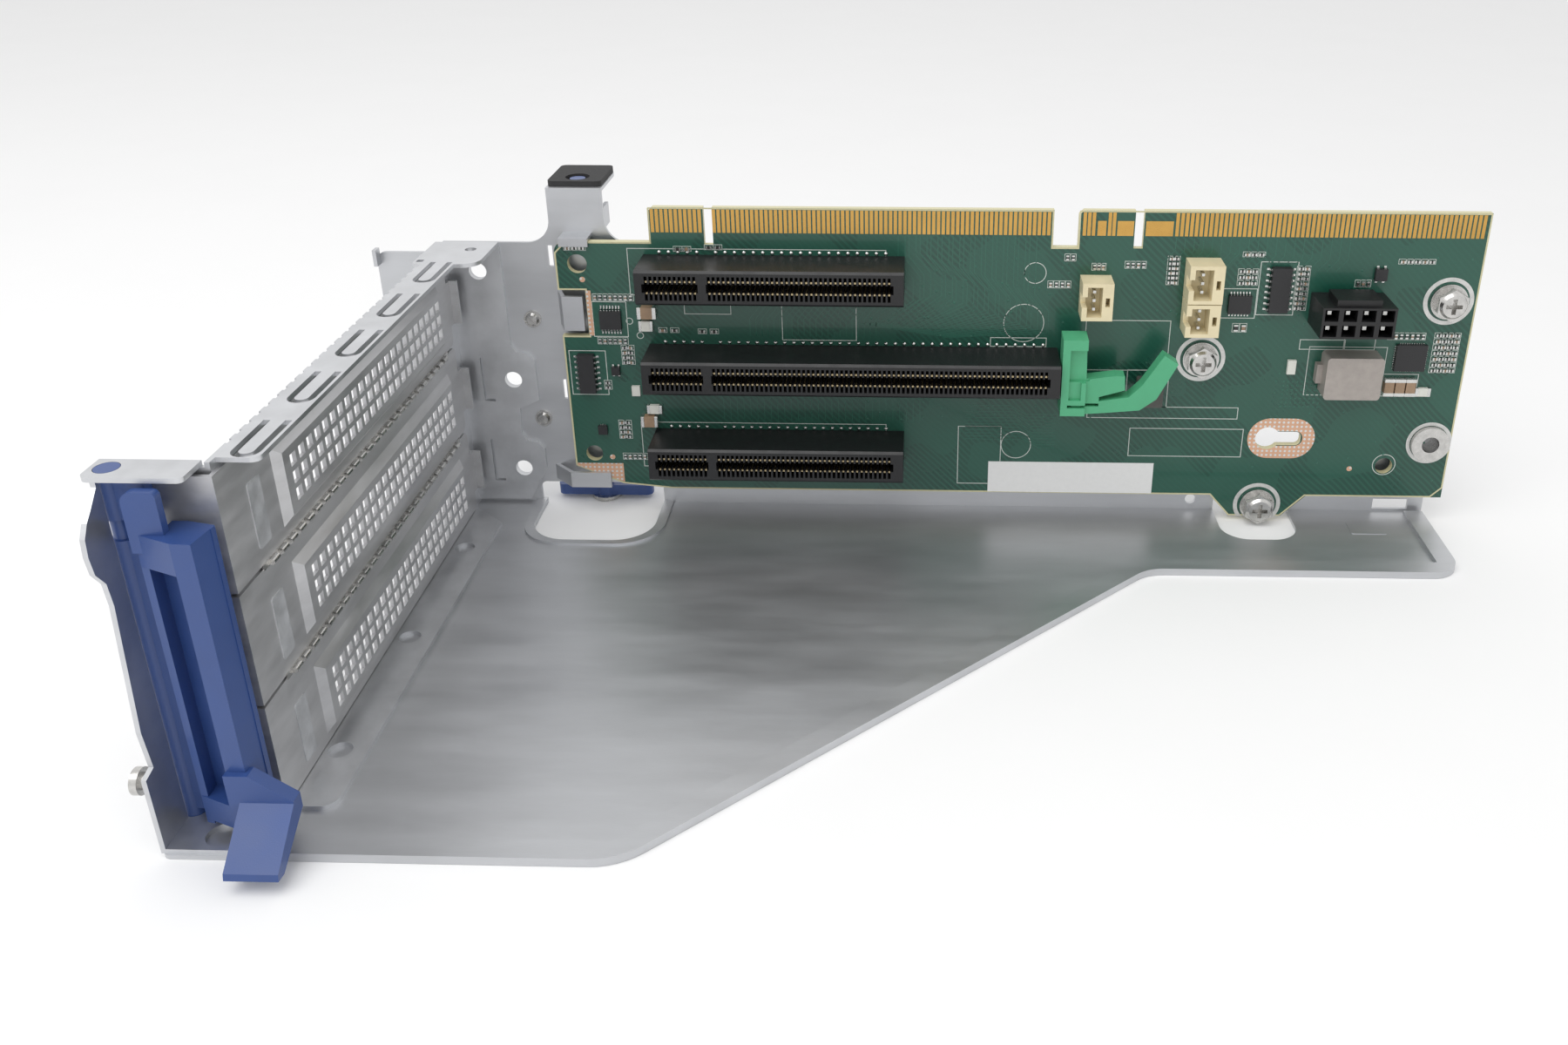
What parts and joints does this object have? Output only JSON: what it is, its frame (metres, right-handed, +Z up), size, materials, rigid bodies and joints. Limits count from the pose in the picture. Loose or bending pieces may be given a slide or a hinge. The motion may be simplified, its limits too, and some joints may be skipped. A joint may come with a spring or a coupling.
{
  "type": "riser cage bracket",
  "caption": "Sheet steel cage with a green riser board, card slots, perforated slot covers, a blue retainer door, a card lock and a half-turn latch.",
  "frame": {"origin": "underside of the plate, below the middle of the board's length, in the plane of the board's card side", "axes": "+X along the board away from the slot covers, +Y through the board away from the cards, +Z up from the plate to the gold edge"},
  "size_m": [0.2371, 0.1401, 0.0765],
  "materials": {
    "galvanised": "galvanised sheet",
    "frame_steel": "galvanised sheet, bright",
    "cover_steel": "zinc plated sheet",
    "spring_steel": "bright spring strip",
    "plated_steel": "nickel plated",
    "pad_black": "black sheet",
    "board_green": "green solder mask",
    "gold": "gold plated contacts",
    "tin": "tinned copper",
    "bare_copper": "bare copper",
    "slot_black": "black moulding",
    "chip_black": "black epoxy",
    "contact_metal": "plated spring contacts",
    "header_ivory": "ivory moulding",
    "inductor_grey": "pressed ferrite",
    "ceramic_tan": "ceramic",
    "fuse_white": "ceramic",
    "label_white": "blank label stock",
    "lock_green": "pale green moulding",
    "touch_blue": "blue moulding"
  },
  "bodies": {
    "cage": {"cage_shell": "galvanised", "slot_frame": "frame_steel", "cover_top": "cover_steel", "cover_middle": "cover_steel", "cover_bottom": "cover_steel", "cover_pads": "cover_steel", "emi_strips": "spring_steel", "press_studs": "plated_steel", "side_stud": "plated_steel", "arm_pad": "pad_black", "standoffs": "plated_steel", "riser_board": "board_green", "edge_contacts": "gold", "board_pads": "tin", "copper_pads": "bare_copper", "slot_top": "slot_black", "slot_middle": "slot_black", "slot_bottom": "slot_black", "contacts_top": "contact_metal", "contacts_middle": "contact_metal", "contacts_bottom": "contact_metal", "fan_headers": "header_ivory", "header_pins": "contact_metal", "power_socket": "slot_black", "power_pins": "contact_metal", "board_chips": "chip_black", "power_inductor": "inductor_grey", "small_inductor": "inductor_grey", "board_caps": "ceramic_tan", "board_fuses": "fuse_white", "board_screws": "plated_steel", "insert_nut": "plated_steel", "board_label": "label_white", "lock_base": "lock_green", "latch_spring": "spring_steel"},
    "door": {"retainer_door": "touch_blue"},
    "lock": {"card_lock": "lock_green"},
    "latch_lift": {"latch_washer": "plated_steel"},
    "latch": {"latch_handle": "touch_blue", "latch_head": "plated_steel", "latch_clip": "spring_steel"}
  },
  "joints": [
    {"name": "door_hinge", "type": "hinge", "parent": "cage", "child": "door", "pos_m": [-0.1357, -0.1045, 0.03], "axis": [0, 0, -1], "range_deg": [0, 40]},
    {"name": "lock_pivot", "type": "hinge", "parent": "cage", "child": "lock", "pos_m": [0.01345, -0.007, 0.03238], "axis": [0, 1, 0], "range_deg": [0, 12], "stiffness_Nm_per_rad": 0.01},
    {"name": "latch_lift", "type": "slide", "parent": "cage", "child": "latch_lift", "axis": [0, 0, 1], "range_m": [0, 0.0022], "stiffness_N_per_m": 80, "springref_m": -0.003, "deforming": ["latch_spring"]},
    {"name": "latch_turn", "type": "hinge", "parent": "latch_lift", "child": "latch", "pos_m": [-0.0933, 0.0084, 0], "axis": [0, 0, 1], "range_deg": [0, 180]}
  ]
}
